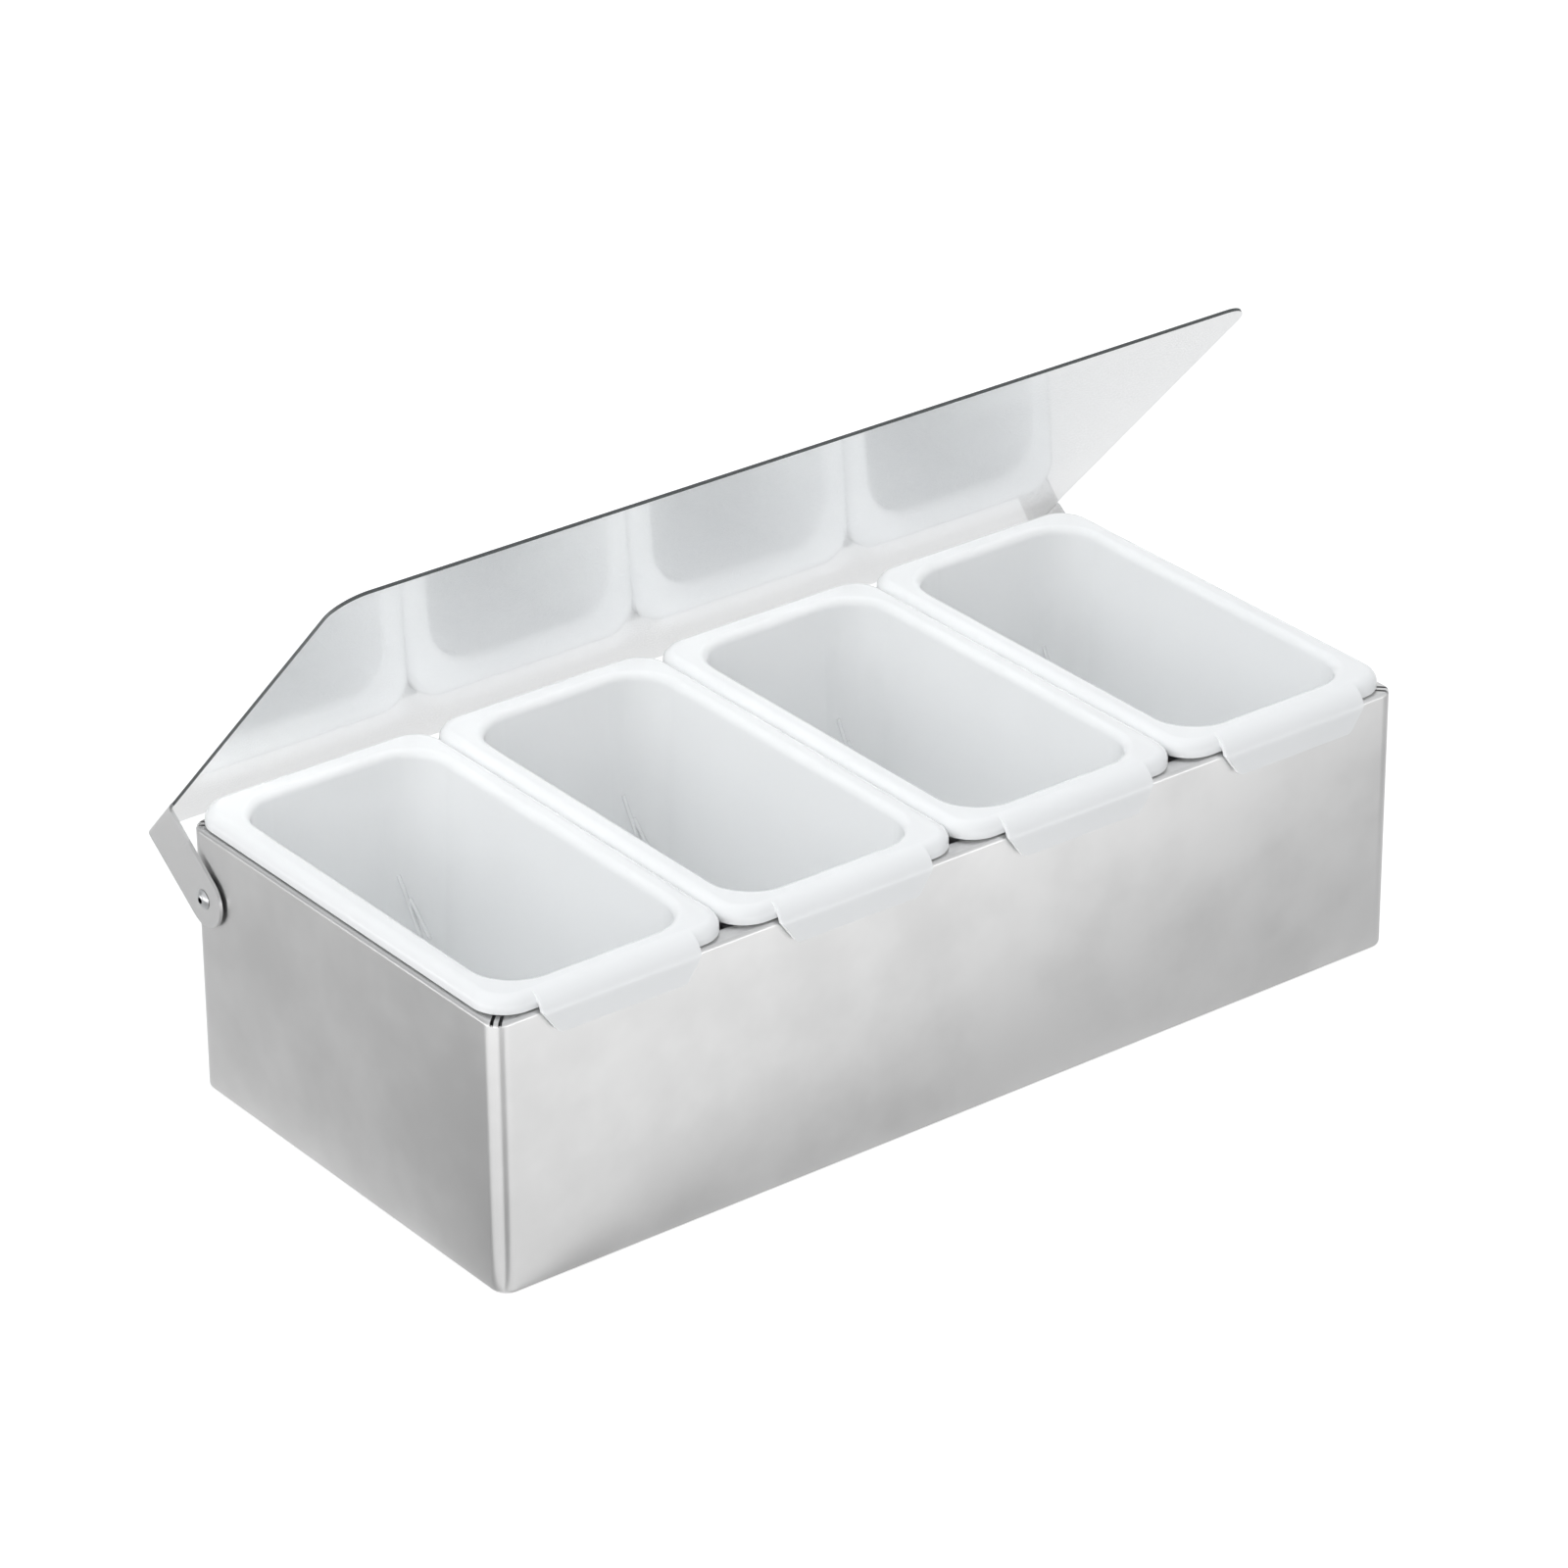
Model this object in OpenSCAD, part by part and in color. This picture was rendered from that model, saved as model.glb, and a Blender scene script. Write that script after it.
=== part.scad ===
// Condiment caddy: a folded steel trough that holds four lift-out moulded bins
// under one flip lid. The lid is a flat sheet with an ear folded down at each
// rear corner, and it turns on a rivet through each end wall.
// X runs along the trough, Y to the rear and Z up. The origin is on the
// resting face, under the middle of the trough.

/* [Trough] */
// Length of the trough over its end walls
body_l = 380; // [340:1:420]
// Depth of the trough, front face to rear face
body_d = 175; // [160:1:190]
// Height of the trough, resting face to top edge
body_h = 99.5; // [94:0.5:115]
// Thickness of the trough's steel sheet
sheet_t = 0.9; // [0.7:0.1:1.2]
// Outside radius of the trough's upright corners
body_corner_r = 6; // [3.5:0.5:8]
// Outside radius of the folds at the trough's top and bottom edges
bend_r = 1.4; // [1.3:0.1:2.5]
// Width of the lip turned inward at the top edge, which carries the bins
lip_w = 7; // [5:0.5:7.5]
// Inside radius of the lip's corners
lip_corner_r = 9; // [4:0.5:14]
// Width of the relief notches in the lip, two at each corner
notch_w = 1.2; // [0.8:0.1:1.4]
// Distance between the two notches of a corner, centre to centre
notch_pitch = 2.7; // [2.4:0.1:3.6]
// Depth of the notches below the top edge
notch_drop = 1.2; // [1:0.1:1.8]

/* [Bins] */
// Height of a bin, from its underside to the top of its rim
bin_h = 84; // [60:1:90]
// Wall thickness of a bin
bin_t = 2; // [1.6:0.1:2.4]
// Set-back of the rims from the trough's front and end faces
rim_inset = 1; // [0.5:0.1:1.4]
// Reach of the rims past the trough's rear face
rim_over = 1; // [0:0.1:1.2]
// Gap between two neighbouring rims
rim_gap = 0.4; // [0.3:0.1:1]
// Width of a rim at its front and sides, from its outer edge to the opening
rim_w = 9.5; // [9:0.5:12]
// Width of a rim at its rear
rim_back_w = 11; // [10:0.5:13]
// Height of the rims above the trough's top edge
rim_h = 6.5; // [5.5:0.5:8]
// Radius of a rim's outer corners, seen from above
rim_corner_r = 12.5; // [8:0.5:15]
// Gap between the skirt of a rim and the trough's lip
skirt_gap = 0.9; // [0.4:0.1:1.4]
// Set-back of the seat ring, which carries the rim on the lip, from its edge
seat_in = 3.2; // [3:0.1:3.6]
// Thickness of the seat ring
seat_t = 1.5; // [1:0.1:1.8]
// Rounding of a rim's outer shoulder
shoulder_r = 4; // [2.5:0.5:4.5]
// Rounding where the rim turns down into the bin
mouth_r = 3; // [2.5:0.5:3.5]
// Radius of the opening's corners
opening_r = 16; // [14:0.5:20]
// Draft of the bin's walls, in degrees
draft = 2; // [1:0.5:3]
// Inside radius between the walls and the floor
floor_r = 8; // [5:0.5:9]

/* [Pull tabs] */
// Width of a pull tab where it leaves the rim
tab_w = 62; // [40:1:66]
// Run of each slanted end of a tab
tab_slant = 6; // [3:0.5:9]
// Drop of a tab below the trough's top edge
tab_drop = 8.5; // [7:0.5:12]
// Thickness of a tab
tab_t = 1.8; // [1.5:0.1:2.2]
// Gap between a tab and the trough's front face
tab_gap = 1; // [0.6:0.1:1.5]
// Outside radius of a tab's curl over the front edge
tab_curl_r = 8; // [7:0.5:9]
// Radius of a tab's lower corners
tab_corner_r = 3; // [1.5:0.5:4]

/* [Corner ribs] */
// Depth of the ribs' upper ends below the rim
rib_depth = 46; // [40:1:50]
// Fall of a rib from its upper end to its lower end
rib_fall = 24; // [16:1:26]
// Radius of a rib
rib_r = 0.7; // [0.5:0.1:0.9]
// Step down from the first rib's upper end to the second's
rib_step = 9; // [6:1:10]
// Direction of the first rib's upper end from the corner's centre, in degrees
rib_from = 72; // [66:1:76]
// Turn of a rib about the corner's centre on its way down, in degrees
rib_turn = 28; // [20:1:30]
// Angle between the two ribs, in degrees
rib_apart = 14; // [10:1:18]

/* [Lid] */
// Angle of the lid above its closed place, in degrees
lid_open = 47.5; // [0:0.5:138]
// Thickness of the lid's sheet
lid_t = 1.2; // [1:0.1:1.5]
// Gap between the closed lid and the rims under it
lid_clear = 1.4; // [1.3:0.1:2]
// Set-back of the closed lid's front edge from the trough's front face
lid_front_gap = 2.6; // [0:0.1:4]
// Reach of the closed lid's rear edge behind the rear face
lid_rear_reach = 3.6; // [3:0.1:5]
// Radius of the lid's front corners
lid_corner_r = 12; // [6:0.5:20]

/* [Ears] */
// Gap between an ear and the end wall, filled by the spacer washer
ear_gap = 1; // [0.8:0.1:1.6]
// Reach of an ear's fold in front of the pivot
ear_reach = 7; // [5:0.5:9]
// Radius of an ear's round end
ear_end_r = 10; // [8:0.5:12]
// Outside radius of the fold between lid and ear
ear_bend_r = 2.2; // [1.8:0.1:2.2]

/* [Pivot] */
// Distance of the pivot from the rear face
pivot_back = 10; // [10:0.1:12]
// Distance of the pivot below the trough's top edge
pivot_drop = 24; // [22:0.5:28]
// Radius of a rivet's shank
rivet_r = 2; // [1.6:0.1:2.4]
// Running clearance round the shank in the ear
rivet_clear = 0.06; // [0.03:0.01:0.1]
// Radius of a rivet's outer head
rivet_head_r = 3.6; // [3.3:0.1:4]
// Height of a rivet's outer head
rivet_head_h = 1.3; // [1:0.1:1.8]
// Radius of the blind hole in a rivet's head
rivet_eye_r = 1; // [0.7:0.1:1.2]
// Radius of a rivet's inner head, set against the inside of the wall
rivet_tail_r = 3.4; // [3:0.1:4]
// Height of a rivet's inner head
rivet_tail_h = 1.6; // [1:0.1:2]
// End play of an ear between its washer and the rivet's head
end_play = 0.15; // [0.1:0.05:0.2]
// Radius of a spacer washer
washer_r = 5; // [4:0.5:6]

/* [Hidden] */
$fn = 64;
rib_fn = 24;

// Half sizes of the trough
half_l = body_l / 2;
half_d = body_d / 2;

// Bins: four equal places between the end walls
bins = 4;
bin_pitch = (body_l - 2 * rim_inset) / bins;
rim_l = bin_pitch - rim_gap;
rim_d = body_d - rim_inset + rim_over;
bin_y = (rim_inset + rim_over) / 2;
bin_top = body_h + rim_h;
opening_l = rim_l - 2 * rim_w;
opening_d = rim_d - rim_w - rim_back_w;
opening_y = (rim_w - rim_back_w) / 2;
bin_base = bin_top - bin_h;
floor_top = bin_base + bin_t;
wall_top = bin_top - mouth_r;
skirt_foot = body_h + skirt_gap;

// Centre of the round between a bin's wall and floor, measured inward from
// the opening's edge and up from the resting face
fillet_z = floor_top + floor_r;
fillet_in = wall_in(fillet_z) + floor_r / cos(draft);

// Curl of a pull tab over the trough's front edge, from the bin's own centre
tab_face = -half_d - bin_y - tab_gap - tab_t;
curl_y = tab_face + tab_curl_r;
curl_z = bin_top - tab_curl_r;
rim_front = -rim_d / 2;

// Lid, in its closed place: s runs forward from the pivot and n upward from it
pivot_y = half_d - pivot_back;
pivot_z = body_h - pivot_drop;
lid_under = bin_top + lid_clear - pivot_z;
lid_over = lid_under + lid_t;
lid_front = body_d - pivot_back - lid_front_gap;
lid_rear = -pivot_back - lid_rear_reach;
ear_in = ear_gap;
ear_out = ear_gap + lid_t;
fold_n = lid_over - ear_bend_r;
fold_x = half_l + ear_out - ear_bend_r;

// Overlap of cutting tools past the faces that they cut
past = 1;

// Overlap of a flat with the swept profile that it continues
lap = 0.2;

// How far a bin's drafted wall stands in from the opening's edge at height z
function wall_in(z) = (wall_top - z) * tan(draft);

// Angle at which a line from point p touches a circle of radius r round the
// origin, on the side that the sign picks
function touch_angle(p, r, side) = atan2(p.y, p.x) + side * acos(r / norm(p));

function on_circle(r, a) = [r * cos(a), r * sin(a)];

// Points of an arc round c, from angle a to angle b
function arc_points(c, r, a, b, steps = 8) =
    [for (i = [0:steps]) c + on_circle(r, a + (b - a) * i / steps)];

// Rectangle of size l by d with round corners, centred
module round_rect(l, d, r) {
    square([l - 2 * r, d], center = true);
    square([l, d - 2 * r], center = true);
    for (x = [-1, 1], y = [-1, 1])
        translate([x * (l / 2 - r), y * (d / 2 - r)]) circle(r);
}

// Sweeps a profile round a rectangle with corners of radius r. In the profile,
// x is the distance outward from the corner's centre and y is the height.
module sweep_round(l, d, r) {
    x = l / 2 - r;
    y = d / 2 - r;
    for (side = [0, 1]) {
        rotate(180 * side) {
            translate([x, 0, 0]) rotate([90, 0, 0])
                linear_extrude(2 * y, center = true) children();
            translate([0, y, 0]) rotate([90, 0, 90])
                linear_extrude(2 * x, center = true) children();
            translate([x, y, 0]) rotate_extrude(angle = 90) children();
            translate([-x, y, 0]) rotate(90) rotate_extrude(angle = 90) children();
        }
    }
}

// Quarter of a ring, in the quadrant that the signs pick
module quarter_ring(r_out, r_in, sx, sy) {
    intersection() {
        difference() {
            circle(r_out);
            circle(r_in);
        }
        scale([sx, sy]) square(r_out + past);
    }
}

// Section of the trough's wall with its folds, from the corner's centre out
module wall_section() {
    r = body_corner_r;
    translate([r - sheet_t, bend_r])
        square([sheet_t, body_h - 2 * bend_r]);
    translate([r - bend_r, body_h - bend_r])
        quarter_ring(bend_r, bend_r - sheet_t, 1, 1);
    translate([r - bend_r, bend_r])
        quarter_ring(bend_r, bend_r - sheet_t, 1, -1);
    for (z = [0, body_h - sheet_t])
        translate([r - bend_r - 2 * lap, z]) square([2 * lap, sheet_t]);
}

// Cutters for the two relief notches in the lip at one corner, which run
// inward from the corner on both sides of its diagonal
module corner_notches() {
    for (side = [-1, 1])
        translate([0, side * notch_pitch / 2 - notch_w / 2, body_h - notch_drop])
            cube([2 * (lip_w + lip_corner_r), notch_w, notch_drop + past]);
}

// Trough: folded sheet with a closed bottom and an inward lip
module trough() {
    flat_l = body_l - 2 * (bend_r + lap);
    flat_d = body_d - 2 * (bend_r + lap);
    flat_r = body_corner_r - bend_r - lap;
    color([0.74, 0.75, 0.76]) difference() {
        union() {
            sweep_round(body_l, body_d, body_corner_r) wall_section();
            linear_extrude(sheet_t) round_rect(flat_l, flat_d, flat_r);
            translate([0, 0, body_h - sheet_t]) linear_extrude(sheet_t)
                difference() {
                    round_rect(flat_l, flat_d, flat_r);
                    round_rect(body_l - 2 * lip_w, body_d - 2 * lip_w, lip_corner_r);
                }
        }
        translate([0, pivot_y, pivot_z]) rotate([0, 90, 0])
            cylinder(r = rivet_r + rivet_clear, h = body_l + 2 * past, center = true);
        for (x = [-1, 1], y = [-1, 1])
            translate([x * half_l, y * half_d, 0]) rotate(atan2(-y, -x)) corner_notches();
    }
}

// Section of a rim's outer shoulder and skirt, and of the seat ring under the
// rim, from the corner's centre out
module shoulder_section() {
    translate([rim_corner_r - shoulder_r, bin_top - shoulder_r])
        quarter_ring(shoulder_r, shoulder_r - bin_t, 1, 1);
    translate([rim_corner_r - bin_t, skirt_foot])
        square([bin_t, bin_top - shoulder_r - skirt_foot]);
    translate([rim_corner_r - shoulder_r - 2 * lap, bin_top - bin_t])
        square([2 * lap, bin_t]);
    translate([rim_corner_r - seat_in - seat_t, body_h])
        square([seat_t, rim_h - bin_t / 2]);
}

// Inside of a bin in section, or its outside when grown by the wall: the
// drafted wall and the round into the floor. x runs inward from the opening.
module cavity_section(grow) {
    slip = grow / cos(draft);
    touch = [fillet_in, fillet_z] - (floor_r + grow) * [cos(draft), sin(draft)];
    inner = fillet_in + 2 * past;
    polygon([
        [wall_in(wall_top) - slip, wall_top],
        [inner, wall_top],
        [inner, floor_top - grow],
        [fillet_in, floor_top - grow],
        [fillet_in, fillet_z],
        touch
    ]);
    translate([fillet_in, fillet_z]) circle(floor_r + grow);
}

// Section of a bin's mouth, drafted wall and floor round, from the corner's
// centre out
module bin_section() {
    translate([opening_r, 0]) mirror([1, 0]) {
        translate([-mouth_r, wall_top])
            quarter_ring(mouth_r, mouth_r - bin_t, 1, 1);
        translate([-mouth_r - 2 * lap, bin_top - bin_t])
            square([2 * lap, bin_t]);
        intersection() {
            difference() {
                cavity_section(bin_t);
                cavity_section(0);
            }
            translate([-2 * bin_t, bin_base])
                square([fillet_in + 2 * (bin_t + lap), wall_top - bin_base]);
        }
    }
}

// Pull tab: the front of the rim curled out and down over the trough's edge
module pull_tab() {
    foot = body_h - tab_drop;
    intersection() {
        translate([-tab_w / 2, 0, 0]) rotate([90, 0, 90])
            linear_extrude(tab_w) difference() {
                union() {
                    translate([curl_y, curl_z]) intersection() {
                        circle(tab_curl_r);
                        translate([-tab_curl_r, 0]) square(tab_curl_r);
                    }
                    translate([tab_face, foot])
                        square([tab_curl_r, curl_z - foot]);
                }
                translate([curl_y, curl_z]) intersection() {
                    circle(tab_curl_r - tab_t);
                    translate([-tab_curl_r, -past])
                        square([rim_front - curl_y + tab_curl_r, tab_curl_r]);
                }
                translate([tab_face + tab_t, foot - past])
                    square([rim_front - tab_face - tab_t, curl_z - foot + past]);
                translate([rim_front, foot - past])
                    square([tab_curl_r, skirt_foot - foot + past]);
                translate([rim_front + bin_t, body_h - past])
                    square([tab_curl_r, rim_h - bin_t + past]);
            }
        rotate([90, 0, 0]) linear_extrude(body_d) tab_outline(foot);
    }
}

// Front view of a pull tab: slanted ends and round lower corners
module tab_outline(foot) {
    lean = atan2(tab_slant, tab_drop);
    low_x = tab_w / 2 - tab_slant;
    turn = tab_corner_r * tan((90 - lean) / 2);
    right = concat(
        [[tab_w / 2, bin_top + past], [tab_w / 2, body_h]],
        [for (p = arc_points([low_x - turn, foot + tab_corner_r], tab_corner_r,
                             -lean, -90)) p]);
    polygon(concat(right, [for (i = [len(right) - 1:-1:0]) [-right[i].x, right[i].y]]));
}

// Small moulded ribs that run down the bin's rear right corner
module corner_ribs() {
    high = bin_top - rib_depth;
    for (i = [0, 1]) {
        z0 = high - i * rib_step;
        z1 = high - rib_fall;
        a = rib_from - i * rib_apart;
        p = corner_point(z0, a);
        q = corner_point(z1, a - rib_turn);
        run = q - p;
        translate(p) rotate([0, acos(run.z / norm(run)), atan2(run.y, run.x)])
            cylinder(r = rib_r, h = norm(run), $fn = rib_fn);
    }
}

// Point on the inside of a bin's rear right corner, at height z and angle a
function corner_point(z, a) =
    let (r = opening_r - wall_in(z),
         c = [opening_l / 2 - opening_r, opening_y + opening_d / 2 - opening_r])
    [c.x + r * cos(a), c.y + r * sin(a), z];

// Bin, centred over its own place
module bin() {
    outer_in = shoulder_r + lap;
    mouth_out = mouth_r + lap;
    floor_in = fillet_in + lap;
    color([0.95, 0.97, 0.97]) union() {
        sweep_round(rim_l, rim_d, rim_corner_r) shoulder_section();
        translate([0, 0, bin_top - bin_t]) linear_extrude(bin_t) difference() {
            round_rect(rim_l - 2 * outer_in, rim_d - 2 * outer_in,
                       rim_corner_r - outer_in);
            translate([0, opening_y])
                round_rect(opening_l + 2 * mouth_out, opening_d + 2 * mouth_out,
                           opening_r + mouth_out);
        }
        translate([0, opening_y, 0]) {
            sweep_round(opening_l, opening_d, opening_r) bin_section();
            translate([0, 0, bin_base]) linear_extrude(bin_t)
                round_rect(opening_l - 2 * floor_in, opening_d - 2 * floor_in,
                           opening_r - floor_in);
        }
        pull_tab();
        corner_ribs();
    }
}

// Bin in its numbered place, counted from the left
module bin_at(number) {
    translate([-half_l + rim_inset + bin_pitch * (number - 0.5), bin_y, 0]) bin();
}

// Outline of the lid's flat panel, in x and s
module panel_outline() {
    span = lid_front - lid_rear;
    translate([-half_l, lid_rear]) difference() {
        square([body_l, span]);
        for (side = [0, 1])
            translate([side * body_l, span]) mirror([side, 0])
                difference() {
                    translate([-past, -lid_corner_r])
                        square(lid_corner_r + past);
                    translate([lid_corner_r, -lid_corner_r]) circle(lid_corner_r);
                }
    }
}

// Side view of an ear, in s and n: it narrows from its fold to its round end
module ear_outline() {
    front = [ear_reach, fold_n - lap];
    rear = [lid_rear, fold_n - lap];
    difference() {
        union() {
            polygon([
                [lid_rear, fold_n],
                [ear_reach, fold_n],
                front,
                on_circle(ear_end_r, touch_angle(front, ear_end_r, -1)),
                [0, 0],
                on_circle(ear_end_r, touch_angle(rear, ear_end_r, 1)),
                rear
            ]);
            circle(ear_end_r);
        }
        circle(rivet_r + rivet_clear);
    }
}

// Section of the fold between panel and ear, in x and n, with its two flats
module fold_section() {
    translate([fold_x, fold_n])
        quarter_ring(ear_bend_r, ear_bend_r - lid_t, 1, 1);
    translate([fold_x + ear_bend_r - lid_t, fold_n - lap]) square([lid_t, lap]);
    translate([half_l - lap, lid_under]) square([fold_x - half_l + lap, lid_t]);
}

// Right ear with its fold, in x, s and n
module ear() {
    translate([half_l + ear_in, 0, 0]) rotate([90, 0, 90])
        linear_extrude(lid_t) ear_outline();
    translate([0, ear_reach, 0]) rotate([90, 0, 0])
        linear_extrude(ear_reach - lid_rear) fold_section();
}

// Lid: one sheet, a flat panel with an ear folded down at each rear corner.
// It is drawn closed and forward of the pivot, then turned to its open angle.
module lid() {
    color([0.86, 0.87, 0.88]) translate([0, pivot_y, pivot_z])
        rotate([-lid_open, 0, 0]) mirror([0, 1, 0]) union() {
            translate([0, 0, lid_under]) linear_extrude(lid_t) panel_outline();
            ear();
            mirror([1, 0, 0]) ear();
        }
}

// Right rivet: shank, domed outer head with a blind eye, and set inner head
module rivet() {
    head = ear_out + end_play;
    dome_r = (rivet_head_r * rivet_head_r + rivet_head_h * rivet_head_h) / (2 * rivet_head_h);
    color([0.70, 0.71, 0.72]) translate([half_l, pivot_y, pivot_z]) rotate([0, 90, 0])
        rotate_extrude() difference() {
            union() {
                translate([0, -sheet_t - rivet_tail_h])
                    square([rivet_tail_r, rivet_tail_h]);
                translate([0, -sheet_t - past])
                    square([rivet_r, head + sheet_t + 2 * past]);
                intersection() {
                    translate([0, head + rivet_head_h - dome_r]) circle(dome_r);
                    translate([0, head]) square([rivet_head_r, rivet_head_h]);
                }
            }
            translate([0, head - past])
                square([rivet_eye_r, rivet_head_h + 2 * past]);
        }
}

// Right spacer washer, between the end wall and the ear
module washer() {
    color([0.62, 0.63, 0.64]) translate([half_l, pivot_y, pivot_z]) rotate([0, 90, 0])
        linear_extrude(ear_gap - end_play) difference() {
            circle(washer_r);
            circle(rivet_r + rivet_clear);
        }
}

trough();
bin_at(1);  // bin_1
bin_at(2);  // bin_2
bin_at(3);  // bin_3
bin_at(4);  // bin_4
lid();
mirror([1, 0, 0]) rivet();  // rivet_left
rivet();  // rivet_right
mirror([1, 0, 0]) washer();  // washer_left
washer();  // washer_right
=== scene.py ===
import math

import bpy
from mathutils import Matrix, Vector

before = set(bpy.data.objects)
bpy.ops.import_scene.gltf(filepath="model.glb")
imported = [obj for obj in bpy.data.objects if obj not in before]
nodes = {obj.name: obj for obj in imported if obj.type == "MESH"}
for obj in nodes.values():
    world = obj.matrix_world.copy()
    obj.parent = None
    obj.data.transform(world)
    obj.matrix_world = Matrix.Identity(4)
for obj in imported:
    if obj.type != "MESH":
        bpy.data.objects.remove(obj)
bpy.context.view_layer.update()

WHITE = (1.0, 1.0, 1.0, 1.0)

# Places in the CAD, in metres in the row frame: the lid's hinge line, its
# angle at rest, the closed panel's height, half the trough's length and depth,
# and the radius of the rivets' eyes.
PIVOT = (0.0, 0.0775, 0.0755)
LID_OPEN = math.radians(47.5)
PANEL_UNDER = 0.1074
HALF_L = 0.19
HALF_D = 0.0875
EYE_R = 0.001

# How far the limits of the lid's and the eyes' tones stand off their faces.
PANEL_SLACK = 0.00005
EAR_SLACK = 0.0001
EYE_EDGE = 0.0003
# A face counts as a cut edge where the dot product of its normal and the
# panel's is under this.
EDGE_LEAN = 0.5

# The materials' darker and lighter tones, and the tones of parts of them.
TROUGH_TONES = ((0.705, 0.704, 0.702), (0.80, 0.799, 0.797))
LID_TONES = ((0.94, 0.945, 0.95), (0.965, 0.97, 0.97))
# Painted shade: a greyer tone for the lid's ears, the same polished sheet as
# its panel.
EAR_SHADE_TONE = (0.78, 0.78, 0.78)
# Painted shade: the dark tone of the lid's cut edge.
CUT_EDGE_SHADE = (0.16, 0.17, 0.17)
BIN_TONES = ((0.94, 0.95, 0.955), (0.955, 0.965, 0.97))
RIVET_TONE = (0.70, 0.71, 0.72)
WASHER_TONE = (0.50, 0.51, 0.52)
# Painted shade: the dark tone inside the rivets' eyes.
EYE_SHADE_TONE = (0.10, 0.10, 0.11)
# Where a noise turns from the darker tone into the lighter one.
CLOUD_EDGES = (0.35, 0.65)

# Roughness from the smoothest to the dullest spot, and what the trough's grain
# and the lid's cut edge add to it. The trough's stays above 0.28, because
# denoising leaves marks where directional steel goes below it.
TROUGH_ROUGH = (0.285, 0.315)
GRAIN_ROUGH = 0.03
LID_ROUGH = (0.07, 0.55)
CUT_ROUGH = 0.3
BIN_ROUGH = (0.16, 0.22)
RIVET_ROUGH = (0.17, 0.27)
WASHER_ROUGH = (0.30, 0.40)
# Stretches the trough's grain along the sheet.
GRAIN_SCALE = (15, 15, 500)

# Tones of the surroundings that show in metal, by direction in degrees from
# +X: a narrow dark gap at the front, a grey side at the right, another from
# the rear to the rear left that darkens to the left, and white elsewhere.
AROUND = [(-180, 1.0), (-131, 1.0), (-122, 0.35), (-96, 0.35), (-86, 1.0),
          (-32, 1.0), (-20, 0.92), (-12, 0.56), (-4, 0.5), (12, 1.0),
          (84, 1.0), (98, 0.60), (118, 0.43), (136, 0.22), (150, 1.0),
          (180, 1.0)]

# The floor: its side and height, the paper's tones, the glow that lifts it to
# white for the camera, and the share of the toned floor in what metal sees.
FLOOR_SIDE = 12.0
FLOOR_Z = -0.0002
PAPER_TONES = ((0.79, 0.79, 0.79), (0.81, 0.81, 0.81))
PAPER_GLOW = 0.45
MIRROR_SHARE = 0.8
# What metal sees of the floor, by the distance from the object: darker close
# by, as painted shade, and in front brighter than white far off, as painted
# light, with the tones faded to white.
CLOSE_BY, CLOSE_LEVEL = (0.0, 0.16), 0.96
FAR_OFF, FAR_LEVEL = (0.2, 0.5), 3.0
TONES_FADE = (0.2, 0.4)
# The front begins and is full at these values of x + y.
FRONT = (0.1, -0.2)

# Strength of the soft light from each side: left, right, front and top, and
# its colour and how narrow each side's part is.
SOFT_LIGHT = [((-1, 0, 0), 0.9), ((1, 0, 0), 0.9), ((0, -1, 0), 0.05),
              ((0, 0, 1), 1.2)]
SOFT_COLOUR = (0.97, 0.985, 1.0)
SOFT_POWER = 2.0
# The world's tones for metal over the ring of tones, and the heights, as the
# direction's z, between which they come in: one for all rays, high up, and one
# from the horizon for rays that haven't met a matt surface.
HIGH_TONE, HIGH = (0.78, 0.79, 0.80), (0.3, 0.9)
LOW_TONE, LOW, LOW_SHARE = (0.70, 0.71, 0.72), (0.0, 0.15), 0.6
# How much brighter the front is for the light that the lid throws on to the
# bins, and the y and z of the direction between which that comes in.
AHEAD, AHEAD_Y, AHEAD_Z = 3.2, (0.2, -0.3), (0.75, 0.35)

# The lamp at the front left: place, aim, power in watts and side in metres.
LAMP_AT, LAMP_AIM = (-1.87, -1.08, 1.2), (0.0, 0.0, 0.08)
LAMP_POWER, LAMP_SIDE = 12.5, 1.4

# The camera, fitted to the photograph's corners and edges: place in metres,
# angles in degrees, lens and sensor in millimetres, clipping in metres.
CAMERA_AT = (-1.18911, -1.54644, 1.10527)
AZIMUTH, ELEVATION, ROLL = -37.36, 27.53, -0.42
FOCAL, SENSOR = 149.18, 36.0
CLIP_START, CLIP_END = 0.05, 50.0


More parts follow.
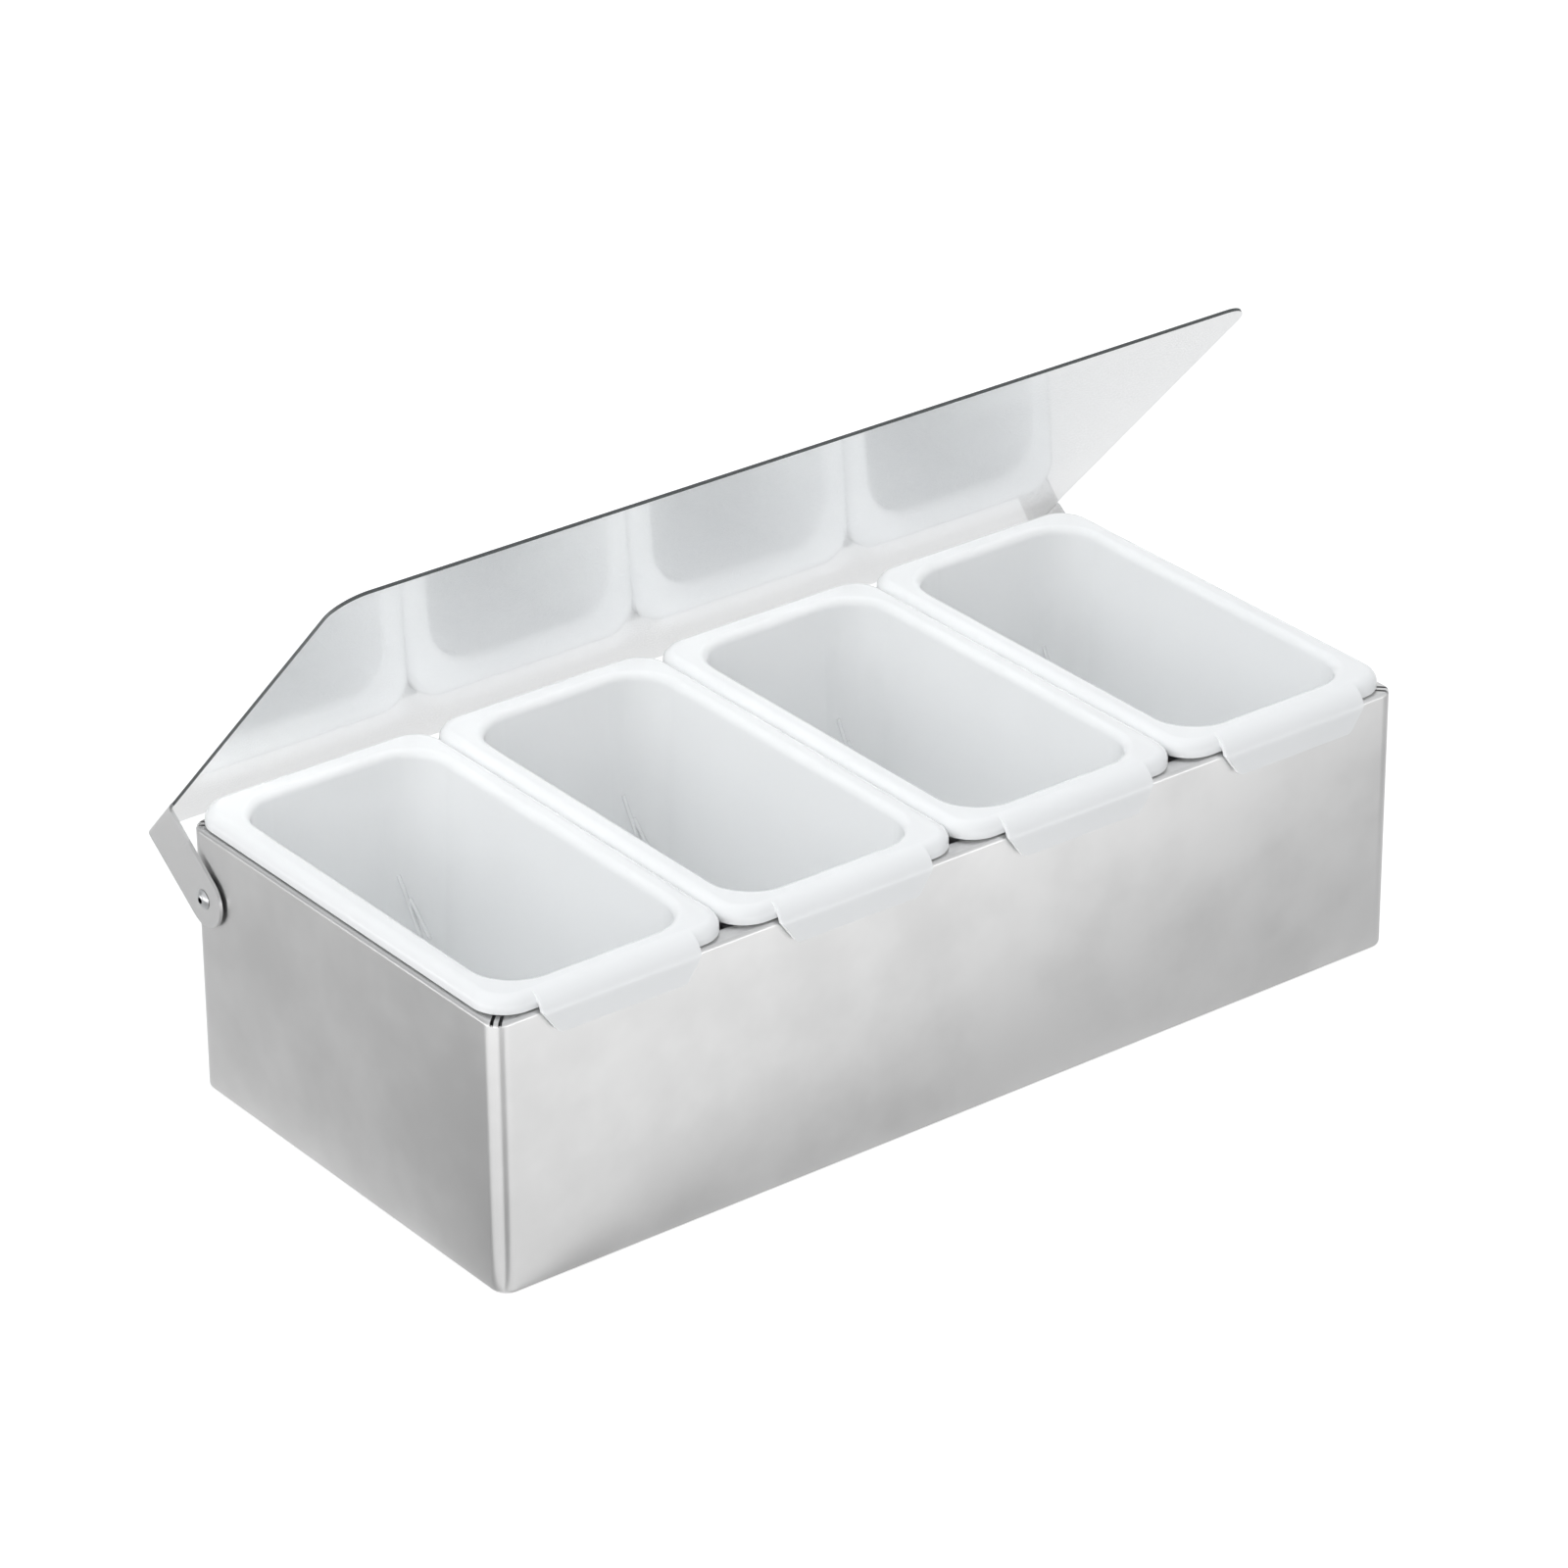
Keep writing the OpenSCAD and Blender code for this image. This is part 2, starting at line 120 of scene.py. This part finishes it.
class Nodes:
    """Builds one node tree with short calls."""

    def __init__(self, tree):
        self.tree = tree
        tree.nodes.clear()

    def add(self, kind, inputs=None, **settings):
        node = self.tree.nodes.new(kind)
        for key, value in settings.items():
            setattr(node, key, value)
        for key, value in (inputs or {}).items():
            self.set(node.inputs[key], value)
        return node

    def set(self, socket, value):
        if isinstance(value, bpy.types.NodeSocket):
            self.tree.links.new(value, socket)
        else:
            socket.default_value = value

    def math(self, operation, a, b=0.0, c=0.0):
        return self.add("ShaderNodeMath", {0: a, 1: b, 2: c},
                        operation=operation).outputs[0]

    def plus(self, a, b):
        return self.math("ADD", a, b)

    def minus(self, a, b):
        return self.math("SUBTRACT", a, b)

    def times(self, a, b):
        return self.math("MULTIPLY", a, b)

    def vector(self, operation, a, b=(0, 0, 0), out=0):
        return self.add("ShaderNodeVectorMath", {0: a, 1: b},
                        operation=operation).outputs[out]

    def split(self, vector):
        return self.add("ShaderNodeSeparateXYZ", {0: vector}).outputs[:]

    def coordinates(self, out="Object"):
        return self.add("ShaderNodeTexCoord").outputs[out]

    def noise(self, vector, scale, detail=2.0, rough=0.5):
        return self.add("ShaderNodeTexNoise", {
            "Vector": vector, "Scale": scale, "Detail": detail,
            "Roughness": rough}).outputs["Fac"]

    def ramp(self, value, edges, to=(0.0, 1.0)):
        """A smooth step from to[0] to to[1] between the edges."""
        return self.add("ShaderNodeMapRange", {
            0: value, 1: edges[0], 2: edges[1], 3: to[0], 4: to[1]},
            clamp=True, interpolation_type="SMOOTHSTEP").outputs[0]

    def mix(self, factor, a, b):
        """Colour a where the factor is 0, and b where it is 1."""
        return self.add("ShaderNodeMix", {0: factor, 6: a, 7: b},
                        data_type="RGBA").outputs[2]

    def clouds(self, value, tones):
        """The darker and lighter tone, spread by a noise's value."""
        return self.mix(self.ramp(value, CLOUD_EDGES), rgb(*tones[0]),
                        rgb(*tones[1]))

    def bump(self, height, strength, distance):
        return self.add("ShaderNodeBump", {
            "Height": height, "Strength": strength,
            "Distance": distance}).outputs[0]

    def mix_shader(self, factor, a, b):
        return self.add("ShaderNodeMixShader",
                        {0: factor, 1: a, 2: b}).outputs[0]

    def emission(self, colour, strength):
        return self.add("ShaderNodeEmission",
                        {"Color": colour, "Strength": strength}).outputs[0]

    def background(self, colour, strength):
        return self.add("ShaderNodeBackground",
                        {0: colour, 1: strength}).outputs[0]

    def output(self, shader, kind="ShaderNodeOutputMaterial"):
        self.add(kind, {0: shader})

    def principled(self, **inputs):
        """The material's shader, with spaces for the names' underscores."""
        named = {key.replace("_", " "): value for key, value in inputs.items()}
        self.output(self.add("ShaderNodeBsdfPrincipled", named).outputs[0])


def rgb(r, g, b):
    return (r, g, b, 1.0)


def new_material(name):
    """A material, and the builder of its node tree."""
    material = bpy.data.materials.new(name)
    material.use_nodes = True
    return material, Nodes(material.node_tree)


def dress(node, material):
    """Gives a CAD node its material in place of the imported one."""
    mesh = nodes[node].data
    mesh.materials.clear()
    mesh.materials.append(material)


def trough_steel():
    """Satin sheet: soft mottling and a faint grain along the sheet."""
    material, n = new_material("trough_steel")
    place = n.coordinates()
    mottle = n.noise(place, 30.0, detail=3.0, rough=0.55)
    cloud = n.noise(place, 6.0)
    grain = n.noise(n.vector("MULTIPLY", place, GRAIN_SCALE), 1.0, detail=1.0)
    tone = n.plus(n.times(mottle, 0.5), n.times(cloud, 0.5))
    rough = n.plus(n.ramp(mottle, (0.3, 0.7), TROUGH_ROUGH),
                   n.times(grain, GRAIN_ROUGH))
    tangent = n.add("ShaderNodeTangent", direction_type="RADIAL", axis="Z")
    n.principled(Base_Color=n.clouds(tone, TROUGH_TONES), Metallic=1.0,
                 Roughness=rough, Anisotropic=0.7, Anisotropic_Rotation=0.25,
                 Tangent=tangent.outputs[0])
    return material


def lid_steel():
    """Mirror polished sheet, with painted shade: greyer ears and a dark cut
    edge, which is also dull.
    """
    material, n = new_material("lid_steel")
    place = n.coordinates()
    closed = n.add("ShaderNodeVectorRotate", {
        "Vector": place, "Center": PIVOT, "Angle": LID_OPEN},
        rotation_type="X_AXIS").outputs[0]
    x, _, z = n.split(closed)
    inside = n.math("LESS_THAN", n.math("ABSOLUTE", x), HALF_L + EAR_SLACK)
    ear_shade = n.minus(1.0, inside)
    up = (0.0, math.sin(LID_OPEN), math.cos(LID_OPEN))
    facing = n.vector("DOT_PRODUCT", n.coordinates("Normal"), up, "Value")
    side = n.math("LESS_THAN", n.math("ABSOLUTE", facing), EDGE_LEAN)
    on_panel = n.math("GREATER_THAN", z, PANEL_UNDER - PANEL_SLACK)
    cut = n.times(n.times(side, on_panel), inside)
    colour = n.clouds(n.noise(place, 9.0), LID_TONES)
    # The ears are painted greyer, as painted shade.
    colour = n.mix(ear_shade, colour, rgb(*EAR_SHADE_TONE))
    # The cut edge is painted dark, as painted shade.
    colour = n.mix(cut, colour, rgb(*CUT_EDGE_SHADE))
    haze = n.noise(place, 5000.0, detail=1.0)
    rough = n.plus(n.ramp(haze, (0.42, 0.56), LID_ROUGH),
                   n.times(cut, CUT_ROUGH))
    wave = n.noise(place, 7.0, detail=1.0)
    n.principled(Base_Color=colour, Metallic=1.0, Roughness=rough,
                 Normal=n.bump(wave, strength=0.02, distance=0.01))
    return material


def bin_plastic():
    """Glossy moulded white plastic, slightly cool."""
    material, n = new_material("bin_plastic")
    place = n.coordinates()
    cloud = n.noise(place, 14.0)
    fine = n.noise(place, 420.0, rough=0.6)
    n.principled(Base_Color=n.clouds(cloud, BIN_TONES),
                 Roughness=n.ramp(cloud, (0.3, 0.7), BIN_ROUGH), IOR=1.5,
                 Subsurface_Weight=0.15, Subsurface_Radius=(1.0, 1.0, 1.0),
                 Subsurface_Scale=0.002, Coat_Weight=0.15,
                 Coat_Roughness=0.08,
                 Normal=n.bump(fine, strength=0.05, distance=0.0001))
    return material


def small_steel(name, tone, rough):
    """Turned or stamped small steel parts, with painted shade inside the
    rivets' eyes.
    """
    material, n = new_material(name)
    place = n.coordinates()
    fine = n.noise(place, 900.0, detail=3.0, rough=0.6)
    darker = rgb(*(part * 0.9 for part in tone))
    # Painted shade inside the rivets' eyes, around the hinge line.
    off = n.vector("MULTIPLY", n.vector("SUBTRACT", place, PIVOT), (0, 1, 1))
    inside = n.ramp(n.vector("LENGTH", off, out="Value"),
                    (EYE_R + EYE_EDGE, EYE_R))
    colour = n.mix(inside, n.mix(fine, darker, rgb(*tone)), rgb(*EYE_SHADE_TONE))
    n.principled(Base_Color=colour, Metallic=1.0,
                 Roughness=n.ramp(fine, (0.3, 0.7), rough),
                 Normal=n.bump(fine, strength=0.08, distance=0.0001))
    return material


def around(n, x, y):
    """Tone of the surroundings in the direction x, y."""
    turn = n.math("DIVIDE", n.math("ARCTAN2", y, x), 2 * math.pi)
    ramp = n.add("ShaderNodeValToRGB", {0: n.plus(turn, 0.5)})
    steps = ramp.color_ramp.elements
    for spot, (angle, tone) in enumerate(AROUND):
        place = angle / 360.0 + 0.5
        if spot == 0:
            step = steps[0]
        elif spot == len(AROUND) - 1:
            step = steps[-1]
        else:
            step = steps.new(place)
        step.position = place
        step.color = rgb(tone, tone, tone)
    return ramp.outputs[0]


def rays(n):
    """The light path's outputs, and 1 for rays straight from the camera."""
    path = n.add("ShaderNodeLightPath").outputs
    return path, n.math("MAXIMUM", path["Is Camera Ray"],
                        path["Is Transmission Ray"])


def floor_material():
    """White paper. The camera sees it lit to white, apart from shadows, and
    metal sees it painted in the tones of the surroundings, as painted
    reflections, with painted shade by the object and painted light far off."""
    material, n = new_material("floor_paper")
    place = n.coordinates()
    x, y, _ = n.split(place)
    beside = [n.math("MAXIMUM", n.minus(n.math("ABSOLUTE", value), half), 0.0)
              for value, half in ((x, HALF_L), (y, HALF_D))]
    away = n.math("SQRT", n.plus(*(n.times(part, part) for part in beside)))
    front = n.ramp(n.plus(x, y), FRONT)
    extra = n.minus(n.ramp(away, FAR_OFF, (1.0, FAR_LEVEL)), 1.0)
    # Painted shade close to the object and painted light far off in front, for
    # metal.
    level = n.times(n.ramp(away, CLOSE_BY, (CLOSE_LEVEL, 1.0)),
                    n.plus(1.0, n.times(front, extra)))
    # Painted reflections: the surroundings' tones, painted on the floor for
    # metal.
    tone = around(n, n.plus(x, HALF_L), n.plus(y, HALF_D))
    tone = n.mix(n.ramp(away, TONES_FADE), tone, n.mix(front, tone, WHITE))
    path, straight = rays(n)
    fibre = n.noise(place, 60.0, detail=3.0, rough=0.6)
    colour = n.mix(fibre, *(rgb(*grey) for grey in PAPER_TONES))
    paper = n.add("ShaderNodeBsdfDiffuse", {"Color": colour}).outputs[0]
    lit = n.add("ShaderNodeAddShader",
                {0: paper, 1: n.emission(WHITE, PAPER_GLOW)}).outputs[0]
    n.output(n.mix_shader(n.times(path["Is Glossy Ray"], MIRROR_SHARE),
                          n.mix_shader(straight, paper, lit),
                          n.emission(tone, level)))
    return material


def make_floor():
    """A large square under the object."""
    half = FLOOR_SIDE / 2
    corners = [(-half, -half, 0), (half, -half, 0), (half, half, 0),
               (-half, half, 0)]
    mesh = bpy.data.meshes.new("floor")
    mesh.from_pydata(corners, [], [(0, 1, 2, 3)])
    made = bpy.data.objects.new("floor", mesh)
    bpy.context.scene.collection.objects.link(made)
    made.location.z = FLOOR_Z
    mesh.materials.append(floor_material())


def studio_world():
    """White to the camera, toned to metal, plain soft light to the rest."""
    world = bpy.data.worlds.new("studio")
    bpy.context.scene.world = world
    world.use_nodes = True
    n = Nodes(world.node_tree)
    way = n.coordinates("Generated")
    x, y, z = n.split(way)
    level = 0.0
    for side, strength in SOFT_LIGHT:
        toward = n.vector("DOT_PRODUCT", way, side, "Value")
        toward = n.math("POWER", n.math("MAXIMUM", toward, 0.0), SOFT_POWER)
        level = n.math("MULTIPLY_ADD", toward, strength, level)
    path, straight = rays(n)
    bounced = n.math("GREATER_THAN", path["Diffuse Depth"], 0.5)
    tone = n.mix(n.ramp(z, HIGH), around(n, x, y), rgb(*HIGH_TONE))
    shade = n.times(n.ramp(z, LOW, (0.0, LOW_SHARE)), n.minus(1.0, bounced))
    tone = n.mix(shade, tone, rgb(*LOW_TONE))
    ahead = n.times(n.times(n.ramp(y, AHEAD_Y), n.ramp(z, AHEAD_Z)), bounced)
    toned = n.background(tone, n.plus(1.0, n.times(ahead, AHEAD)))
    plain = n.mix_shader(straight, n.background(rgb(*SOFT_COLOUR), level),
                         n.background(WHITE, 1.0))
    n.output(n.mix_shader(path["Is Glossy Ray"], plain, toned),
             "ShaderNodeOutputWorld")


def make_lamp():
    """One large lamp, which doesn't show in metal."""
    data = bpy.data.lights.new("key", "AREA")
    data.shape = "RECTANGLE"
    data.size = data.size_y = LAMP_SIDE
    data.energy = LAMP_POWER
    made = bpy.data.objects.new("key", data)
    bpy.context.scene.collection.objects.link(made)
    made.location = LAMP_AT
    made.visible_glossy = False
    back = (Vector(LAMP_AT) - Vector(LAMP_AIM)).normalized()
    made.rotation_euler = back.to_track_quat("Z", "Y").to_euler()


def make_camera():
    """The photograph's camera. The vector back points away from its view."""
    turn, tilt, roll = (math.radians(v) for v in (AZIMUTH, ELEVATION, ROLL))
    back = Vector((math.sin(turn) * math.cos(tilt),
                   -math.cos(turn) * math.cos(tilt), math.sin(tilt)))
    right = Vector((math.cos(turn), math.sin(turn), 0))
    up = back.cross(right)
    right, up = (right * math.cos(roll) + up * math.sin(roll),
                 up * math.cos(roll) - right * math.sin(roll))
    data = bpy.data.cameras.new("camera")
    data.lens = FOCAL
    data.sensor_width = SENSOR
    data.sensor_fit = "HORIZONTAL"
    data.clip_start, data.clip_end = CLIP_START, CLIP_END
    made = bpy.data.objects.new("camera", data)
    bpy.context.scene.collection.objects.link(made)
    axes = Matrix((right, up, back)).transposed().to_4x4()
    made.matrix_world = Matrix.Translation(CAMERA_AT) @ axes
    bpy.context.scene.camera = made


bins_material = bin_plastic()
rivet_material = small_steel("rivet_bright", RIVET_TONE, RIVET_ROUGH)
washer_material = small_steel("washer_plain", WASHER_TONE, WASHER_ROUGH)
dress("trough", trough_steel())
dress("lid", lid_steel())
for number in range(1, 5):
    dress(f"bin_{number}", bins_material)
for side in ("left", "right"):
    dress(f"rivet_{side}", rivet_material)
    dress(f"washer_{side}", washer_material)

make_floor()
studio_world()
make_lamp()
make_camera()
bpy.context.scene.view_settings.view_transform = "Standard"
